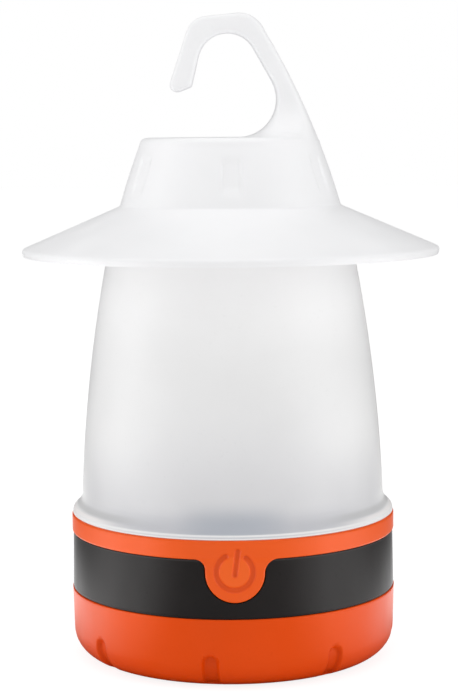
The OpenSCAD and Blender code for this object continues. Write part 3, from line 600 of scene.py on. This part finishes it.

# Collar with the push button: one soft orange moulding, a ring round the housing's top with a tongue that
# hangs down at the front. On the lantern the tongue bends in when it is pressed; here it is one fixed piece. A power
# sign is pressed into both.
collar_r, collar_low, collar_top, collar_back = 39.8, 30.75, 35.25, 1.7
tongue_r, tongue_half, tongue_low = 40.0, 6.95, 20.75
tongue_mid = tongue_low + tongue_half
step_high, step_low = collar_low + 0.6, collar_low - 0.8
root_left, root_right, soft_edge = 2.4, 3.2, 0.5
sign_mid, sign_r, sign_half, sign_depth, sign_soft = (-0.12, 27.95), 4.2, 0.62, 0.4, 0.24
sign_gap = (math.radians(-29.5), math.radians(39.5))
bar_low, bar_high = Vector((-0.05, 27.35)), Vector((0.65, 32.7))
collar_rows, edge_rows = 64, (0, 0.0042, 0.0105, 0.021)
tongue_columns, round_columns, ring_columns = 120, 14, 190
collar_spots = (arc((-tongue_half - root_left, collar_low - root_left), root_left, 90, 0, round_columns)[:-1]
                + arc((0, tongue_mid), tongue_half, -180, 0, tongue_columns)
                + arc((tongue_half + root_right, collar_low - root_right), root_right, 180, 90, round_columns)[1:])
ring_start, ring_end = collar_spots[-1][0], 2 * math.pi * collar_r + collar_spots[0][0]
collar_spots += [(x, collar_low) for x in spaced(ring_start, ring_end, ring_columns)[1:]]


def edge_distance(x, z):
    """Least distance from a point of the collar's front to its outline."""
    root_round = root_right if x > 0 else root_left
    root_x = tongue_half + root_round
    gaps = [collar_top - z]
    if abs(x) >= root_x:
        gaps.append(z - collar_low)
    else:
        if z > tongue_mid - 1:
            gaps.append(math.hypot(root_x - abs(x), z - collar_low + root_round) - root_round)
        if z < tongue_mid + 0.2:
            gaps.append(tongue_half - math.hypot(x, z - tongue_mid))
    return max(min(gaps), 0.0)


def sign_distance(x, z):
    """Distance to the middle line of the power sign's strokes."""
    dx, dz = x - sign_mid[0], z - sign_mid[1]
    if sign_gap[0] < math.atan2(dx, dz) < sign_gap[1]:
        ends = [(sign_mid[0] + sign_r * math.sin(g), sign_mid[1] + sign_r * math.cos(g)) for g in sign_gap]
        ring = min(math.hypot(x - ex, z - ez) for ex, ez in ends)
    else:
        ring = abs(math.hypot(dx, dz) - sign_r)
    length = bar_high - bar_low
    share = min(max((Vector((x, z)) - bar_low).dot(length) / length.length_squared, 0), 1)
    bar = (bar_low + length * share - Vector((x, z))).length
    return min(ring, bar)


def row_share(row):
    """Rows of the collar from its top edge down, close together at both edges."""
    count, last = len(edge_rows), collar_rows - 1
    if row < count:
        return edge_rows[row]
    if row > last - count:
        return 1 - edge_rows[last - row]
    return edge_rows[-1] + (1 - 2 * edge_rows[-1]) * (row - count + 1) / (last - 2 * (count - 1))


def collar_place(column, row):
    """A point of the collar's front, with its soft edge and the power sign's groove."""
    x, low = collar_spots[column]
    z = collar_top + (low - collar_top) * row_share(row)
    r = collar_r + (tongue_r - collar_r) * smooth(step_high, step_low, z)
    gap = edge_distance(x, z) if x < math.pi * collar_r else min(collar_top - z, z - collar_low)
    if gap < soft_edge:
        r -= soft_edge - math.sqrt(max(soft_edge ** 2 - (soft_edge - gap) ** 2, 0))
    pressed = 0.0
    if abs(x) < tongue_half:
        groove = smooth(sign_half + sign_soft, sign_half - sign_soft, sign_distance(x, z))
        disc = smooth(sign_r - sign_half + sign_soft, sign_r - sign_half - sign_soft, math.dist((x, z), sign_mid))
        r -= sign_depth * groove
        # The value kept with the point is the groove's share, which the finish paints as shade, and below zero on the
        # disc inside the ring, which it paints as a highlight.
        pressed = groove - disc * (1 - groove)
    a = -math.pi / 2 + x / collar_r
    return (r * math.cos(a), r * math.sin(a), z, pressed)


def open_edges():
    """Selects only the edges round a hole."""
    bpy.ops.mesh.select_all(action="DESELECT")
    bpy.ops.mesh.select_non_manifold(extend=False)


def collar_back_wall():
    """Turns the open edges in and joins them by a back wall."""
    bpy.ops.mesh.remove_doubles(threshold=weld)
    open_edges()
    bpy.ops.mesh.extrude_region_move()
    inward = (collar_r - collar_back) / collar_r
    bpy.ops.transform.resize(value=(inward, inward, 1), center_override=(0, 0, 0))
    bpy.ops.mesh.bridge_edge_loops()
    face_outward()


collar = formed_grid("collar_and_button", len(collar_spots), collar_rows, collar_place)
edit(collar, collar_back_wall)
soft_orange = Paint("orange_soft")
# The power sign's groove is painted darker, a painted shade, and the disc inside its ring is painted lighter, a
# painted highlight.
groove, disc = [soft_orange.range(soft_orange.recess(), 0.0, end) for end in (1.0, -1.0)]
soft_groove_shade = soft_orange.tint(groove * 0.5, (0.88, 0.1, 0.003), (0.66, 0.056, 0.0002))
soft_orange.moulded(soft_orange.tint(disc * 0.6, soft_groove_shade, (0.94, 0.14, 0.012)), 0.4, 0.34)
wear(collar, soft_orange, "soft_orange", "collar_ring", "power_button")
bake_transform(collar)

# Diffuser: a frosted bottle-shaped moulding with a lip on the collar, a bowed side and a closed stem that
# carries the hat by its thread. Its outside and its inside are turned and joined at the foot.
wall_foot, wall_top, wall_sag, wall_t = Vector((37.2, 39.15)), Vector((28.6, 106.35)), 1.5, 1.7
spigot_in, spigot_out, spigot_low, lip_under, lip_r = 33.9, 35.5, 31.2, 35.25, 39.6
flare_top, flare_sweep = 40.4, 4.2
shoulder_z, shoulder_round, shoulder_in, shoulder_start = 106.35, 3.0, 2.934, 12
stem_r, stem_in, stem_top, stem_soft, cap_r, diffuser_turns = 17.6, 15.9, 121.05, 0.4, 8, 192
stem_thread_low, stem_thread_high = 110.0, 119.5
wall_chord = wall_top - wall_foot
wall_bow = (wall_chord.length_squared / 4 + wall_sag ** 2) / (2 * wall_sag)
wall_out = Vector((wall_chord.y, -wall_chord.x)).normalized()
wall_mid = (wall_foot + wall_top) / 2 - wall_out * (wall_bow - wall_sag)


def wall_side(z):
    """Radius of the diffuser's bowed side."""
    return wall_mid.x + math.sqrt(wall_bow ** 2 - (z - wall_mid.y) ** 2)


shoulder_low = shoulder_z - shoulder_round
outside = [
    (spigot_out, spigot_low), (spigot_out, lip_under), (lip_r - 0.25, lip_under), (lip_r, lip_under + 0.2),
    (lip_r - 0.02, lip_under + 0.5), (lip_r - 0.12, lip_under + 0.9), (lip_r - 0.34, lip_under + 1.35),
    *arc((wall_side(flare_top) + flare_sweep, flare_top), flare_sweep, 234, 180, 16),
    (wall_side(flare_top + 0.6), flare_top + 0.6),
    *[(wall_side(z), z) for z in range(43, int(shoulder_low) + 1)],
    *arc((wall_side(shoulder_low + 0.6) - shoulder_in, shoulder_low), shoulder_round, shoulder_start, 90, 8),
    (stem_r, shoulder_z), (stem_r, stem_top - stem_soft), (stem_r - stem_soft, stem_top), (cap_r, stem_top),
    (pole_r, stem_top)]
inside = [
    (spigot_in, lip_under), (wall_side(flare_top) - wall_t, flare_top),
    *[(wall_side(z) - wall_t, z) for z in range(44, int(shoulder_low), 3)],
    (wall_top.x - wall_t, shoulder_z - wall_t), (stem_in, shoulder_z - wall_t), (stem_in, stem_top - wall_t),
    (cap_r, stem_top - wall_t), (pole_r, stem_top - wall_t)]
diffuser = turned("diffuser_moulding", outside, diffuser_turns, spigot_in, spigot_low)
join(diffuser, turned("diffuser_inside", inside, diffuser_turns, spigot_in, spigot_low))
edit(diffuser, close_seams)
frost = Paint("frosted")
flat = frost.vector("MULTIPLY", {0: frost.place(), 1: (1, 1, 0)})
round_wall = frost.vector("NORMALIZE", {0: flat})
look = frost.node("ShaderNodeLayerWeight", {}, {"Blend": 0.5, "Normal": round_wall}, "Facing")
height = frost.axis("Z")
# The frost's colour carries painted light. It is painted lighter towards the top. Painted shade darkens its sides, its
# lower front, its foot, its flare and the crease above the lip. The bluish hub shade is the dark lamp board painted on
# as if seen through the wall. Painted highlights lie along the lip and on its rim at the sides.
frost_painted_tone = frost.tint(frost.range(height, 0.07, 0.1), (0.89, 0.89, 0.89), (0.96, 0.96, 0.96))
frost_side_shade = frost.range(look, 0.25, 0.95) * frost.range(height, 0.039, 0.043)
frost_low_shade = frost.range(height, 0.075, 0.036) * frost.range(look, 0.45, 0.0)
frost_foot_shade = frost.range(height, 0.06, 0.038) * frost.range(look, 0.0, 0.35) * frost.range(look, 0.95, 0.6)
frost_flare_shade = frost.range(height, 0.0425, 0.037) * frost.range(look, 0.55, 0.05)
flare_crease_shade = frost.band(height, (0.0392, 0.0381), (0.0377, 0.0371)) * frost.range(look, 0.12, 0.45)
flare_side_highlight = frost.range(look, 0.2, 0.6) * frost.range(height, 0.0374, 0.0369)
frost_hub_shade = frost.range(height, 0.0445, 0.0385) * frost.range(look, 0.11, 0.01)
lip_highlight_lines = frost.range(height, 0.0366, 0.0363) - frost.range(height, 0.0362, 0.0359) * 0.6
lip_highlight_lines = lip_highlight_lines + frost.range(height, 0.0358, 0.0356) * 0.6
for mask, share, shade in (
        (frost_side_shade, 0.4, (0.7, 0.7, 0.7)), (frost_low_shade, 0.85, (0.62, 0.62, 0.64)),
        (frost_foot_shade, 0.75, (0.62, 0.62, 0.64)), (frost_flare_shade, 0.5, (0.46, 0.47, 0.52)),
        (flare_crease_shade, 0.55, (0.5, 0.5, 0.5)), (flare_side_highlight, 0.85, (0.93, 0.9, 0.89)),
        (frost_hub_shade, 0.55, (0.36, 0.4, 0.46)), (lip_highlight_lines, 1.0, (0.84, 0.84, 0.84))):
    frost_painted_tone = frost.tint(mask * share, frost_painted_tone, shade)
frost.moulded(frost_painted_tone, 0.36, 0.15, spread=0.018)
wear(diffuser, frost, "frosted_plastic", "diffuser")
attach(diffuser, "housing")
thread("stem_thread", stem_r, stem_thread_low, stem_thread_high, frost, "frosted_plastic")

# Hat: a white satin moulding that screws on the diffuser's stem by the socket under its crown. The brim and
# the crown are turned, and six thumb dimples are pressed in round the crown.
crown_z, crease_z, crease_r, crown_r, bow_r = 126.85, 110.3, 26.98, 21.3, 182.0
rim_r, rim_z, brim_t = 50.85, 100.1, 1.6
crown_wall, crown_wall_across = 1.8, 1.908
seam_z, hat_turns = 124.1, 384
dimple_count, dimple_half, dimple_long, dimple_fade = 6, 2.3, 5.3, 3.2
dimple_depth, dimple_soft, dimple_z, dimple_low = 0.5, 0.4, 117.89, crease_z + 0.8
crown_chord = Vector((crown_r - crease_r, crown_z - crease_z))
crown_out = Vector((crown_chord.y, -crown_chord.x)).normalized()
crown_mid = (Vector((crease_r, crease_z)) + Vector((crown_r, crown_z))) / 2
bow_mid = crown_mid - crown_out * math.sqrt(bow_r ** 2 - crown_chord.length_squared / 4)
brim_lean = math.atan2(crease_z - rim_z, rim_r - crease_r)
brim_drop = brim_t / math.cos(brim_lean)
rim_low = rim_z - brim_drop


def crown_side(z):
    """Radius of the crown's bowed side, which the hook's back carries on upwards."""
    return bow_mid.x + math.sqrt(bow_r ** 2 - (z - bow_mid.y) ** 2)


def brim_top(r):
    """Height of the brim's upper face."""
    return crease_z - (r - crease_r) * math.tan(brim_lean)


crown_rings = [(crown_side(z), z) for z in spaced(seam_z - 0.5, crease_z + 0.9, 36)]
crease_rings = [(crown_side(crease_z + 0.5), crease_z + 0.5), (crown_side(crease_z + 0.2) + 0.02, crease_z + 0.2),
                (crease_r + 0.12, crease_z + 0.03), (crease_r + 0.4, brim_top(crease_r + 0.4) + 0.01)]
brim_rings = [(r, brim_top(r)) for r in spaced(crease_r + 1.1, rim_r - 0.9, 18)]
rim_rings = [(rim_r - 0.35, rim_z + 0.13), (rim_r - 0.1, rim_z - 0.12), (rim_r, rim_z - 0.5),
             (rim_r - 0.05, rim_z - 0.95), (rim_r - 0.3, rim_low + 0.12), (rim_r - 0.7, rim_low + 0.22)]
under_rings = [(r, brim_top(r) - brim_drop) for r in spaced(rim_r - 1.2, crease_r - crown_wall, 8)]
inside_rings = [(crown_side(z) - crown_wall_across, z) for z in (112, 115, 118, 121, 124.1)]
socket_rings = [(19.9, 125.05), (19.5, 124.7), (19.5, 108.5), (19.3, 108.25), (18.1, 108.25), (17.9, 108.5),
                (17.9, 124.7), (17.6, 125.05), (9.0, 125.05), (pole_r, 125.05)]
hat_profile = crown_rings[1:] + crease_rings + brim_rings + rim_rings + under_rings + inside_rings + socket_rings
hat = turned("hat_moulding", hat_profile, hat_turns, *crown_rings[0])
dimple_pitch = 2 * math.pi / dimple_count
for point in hat.data.vertices:
    x, y, z = point.co / MM
    r = math.hypot(x, y)
    if z > dimple_low and abs(r - crown_side(z)) < 0.05:
        turn = math.atan2(y, x) + math.pi / 2
        across = (turn - round(turn / dimple_pitch) * dimple_pitch) * r
        depth = dimple_depth * smooth(-dimple_soft, dimple_soft, dimple_half - abs(across))
        depth *= smooth(dimple_long, dimple_long - dimple_fade, abs(z - dimple_z))
        point.co.xy *= (r - depth) / r

# Hook: a flat-sided bar of the same white plastic that grows out of the crown's right side. Its inner and
# outer sides are rounds and straights seen from the front, and it flares towards the crown.
crook, crook_in = Vector((-0.4, 144.75)), 7.1
root, root_in = Vector((2.3, 135.95)), 9.1
limb_lean, limb_out_lean, limb_t, limb_l, tip_slant = math.radians(13.5), math.radians(18.5), 4.7, 7.6, 3.9
hook_top, top_slope, top_x, left_round, right_round, tip_round = 156.65, 0.1, 2, 5.3, 6.5, 1.7
crook_left, crook_right, crook_foot = math.radians(112), math.radians(66), math.radians(-90)
face_low, side_low, side_reach = 138.5, 123.1, 11
hook_half, root_gain, flare_from, flare_to, flare_round = 3.5, 3.24, 24.0, -6.0, 9.0
hook_ring, hook_square, bend_from, bend_to = 64, 6.0, 2, 8
down = Vector((-math.sin(limb_lean), -math.cos(limb_lean)))
down_out = Vector((-math.sin(limb_out_lean), -math.cos(limb_out_lean)))
out = Vector((-math.cos(limb_lean), math.sin(limb_lean)))
way = root - crook
face_turn = math.atan2(way.y, way.x) + math.acos((crook_in - root_in) / way.length)
face_out = Vector((math.cos(face_turn), math.sin(face_turn)))
limb_turn = math.atan2(out.y, out.x)


def round_corner(before, corner, after, r, steps=12):
    """Points of a round of radius r in a corner."""
    u, v = (before - corner).normalized(), (after - corner).normalized()
    half = u.angle(v) / 2
    middle = corner + (u + v).normalized() * r / math.sin(half)
    start, end = [corner + w * r / math.tan(half) - middle for w in (u, v)]
    return [middle + Matrix.Rotation(-a, 2) @ start for a in spaced(0, start.angle_signed(end), steps)]


def along(points, count):
    """Points evenly spaced along a chain."""
    lengths = [0.0]
    for a, b in zip(points, points[1:]):
        lengths.append(lengths[-1] + (b - a).length)
    result, k = [], 0
    for s in spaced(0, lengths[-1], count):
        while k < len(points) - 2 and lengths[k + 1] < s:
            k += 1
        t = (s - lengths[k]) / max(lengths[k + 1] - lengths[k], 1e-9)
        result.append(points[k].lerp(points[k + 1], min(t, 1)))
    return result


def spin_arc(middle, r, start, end, steps=24):
    """Points on a round from one angle to another, in radians."""
    return [middle + Vector((math.cos(a), math.sin(a))) * r for a in spaced(start, end, steps)]


def side_part(high, low, steps=12):
    """Points down the hook's back, which carries on the crown's side."""
    return [Vector((crown_side(z), z)) for z in spaced(high, low, steps)]


back = crook + out * (crook_in + limb_t)
rise = (hook_top + top_slope * (back.x - top_x) - back.y) / (down_out.y - top_slope * down_out.x)
left_corner = back + down_out * rise
right_x = crown_side(hook_top)
right_corner = Vector((right_x, hook_top + top_slope * (right_x - top_x)))
side_start = Vector((crown_side(hook_top - side_reach), hook_top - side_reach))
tip_in = crook + out * crook_in + down * limb_l
tip_out = back + down_out * (limb_l + tip_slant)
tip_arc = round_corner(tip_in, tip_out, left_corner, tip_round)
left_arc = round_corner(tip_out, left_corner, right_corner, left_round)
right_arc = round_corner(left_corner, right_corner, side_start, right_round)
hook_parts = [
    (5, [tip_in.lerp(tip_arc[0], 0.85), tip_in.lerp(tip_arc[0], 0.25), tip_in], tip_arc),
    (9, [tip_in, crook + out * crook_in], [tip_arc[-1], left_arc[0]]),
    (10, spin_arc(crook, crook_in, limb_turn, crook_left), left_arc),
    (6, spin_arc(crook, crook_in, crook_left, crook_right), [left_arc[-1], right_arc[0]]),
    (8, spin_arc(crook, crook_in, crook_right, face_turn), right_arc),
    (12, [crook + face_out * crook_in, root + face_out * root_in], side_part(right_arc[-1].y, face_low)),
    (14, spin_arc(root, root_in, face_turn, crook_foot), side_part(face_low, side_low)),
]
hook_inner, hook_outer = [], []
for count, inner, outer in hook_parts:
    first = 1 if hook_inner else 0
    hook_inner += along(inner, count)[first:]
    hook_outer += along(outer, count)[first:]


def hook_width(z):
    """Half of the hook's width at a height, flared towards the crown."""
    above = max(z - crown_z, 0.0)
    half = hook_half + root_gain * smooth(flare_from, flare_to, above)
    if above < flare_round:
        half += flare_round - math.sqrt(flare_round ** 2 - (flare_round - above) ** 2)
    return half


def hook_place(column, row):
    """A point of the hook's squarish section, with its back bent round like the crown."""
    a = 2 * math.pi * column / (hook_ring - 1)
    size = (abs(math.cos(a)) ** hook_square + abs(math.sin(a)) ** hook_square) ** (-1 / hook_square)
    share = (math.cos(a) * size + 1) / 2
    spot = hook_inner[row].lerp(hook_outer[row], share)
    y = math.sin(a) * size * hook_width(spot.y)
    bend = smooth(bend_from, bend_to, spot.x) * share
    r = max(crown_side(spot.y), abs(y) + 0.5)
    x = spot.x - bend * (r - math.sqrt(r * r - y * y))
    return (x, y, spot.y)


def close_ends():
    """Closes the open ends with faces."""
    bpy.ops.mesh.remove_doubles(threshold=weld)
    open_edges()
    bpy.ops.mesh.edge_face_add()
    face_outward()


hook = formed_grid("hook_moulding", hook_ring, len(hook_inner), hook_place)
edit(hook, close_ends)

# Crown's top: a turned cap with a rounded edge, run together with the hook's root by a fine remesh. It is cut
# off at a seam and bridged to the crown's side, so that the whole hat is one moulding.
crown_edge = 1.9
edge_z, cap_low = crown_z - crown_edge, 118
voxel, smooth_share, smooth_rounds = 0.3, 0.5, 8
cap_rings = ([(crown_side(z), z) for z in (120, 122, 124, edge_z)]
             + arc((crown_side(edge_z) - crown_edge, edge_z), crown_edge, 18, 90, 6)
             + [(r, crown_z) for r in (17, 12, 6, pole_r)])
cap = turned("crown_cap", cap_rings, hat_turns, crown_side(cap_low), cap_low)
edit(cap, close_ends)


def change(piece, kind, **settings):
    """Adds a modifier to a piece and applies it."""
    pick(piece)
    modifier = piece.modifiers.new(kind.lower(), kind)
    for name, value in settings.items():
        setattr(modifier, name, value)
    bpy.ops.object.modifier_apply(modifier=modifier.name)


def cut_at_seam():
    """Takes away what lies below the seam."""
    bpy.ops.mesh.bisect(plane_co=(0, 0, seam_z * MM), plane_no=(0, 0, 1), clear_inner=True)


def bridge_seam():
    """Joins the two edges at the seam."""
    open_edges()
    bpy.ops.mesh.bridge_edge_loops()
    face_outward()


join(hook, cap)
change(hook, "REMESH", mode="VOXEL", voxel_size=voxel * MM)
change(hook, "SMOOTH", factor=smooth_share, iterations=smooth_rounds)
edit(hook, cut_at_seam)
join(hat, hook)
edit(hat, bridge_seam)
white = Paint("white_satin")
white.moulded((0.925, 0.925, 0.935), 0.4, 0.3, spread=0.012)
wear(hat, white, "white_plastic", "hat")
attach(hat, "hat")
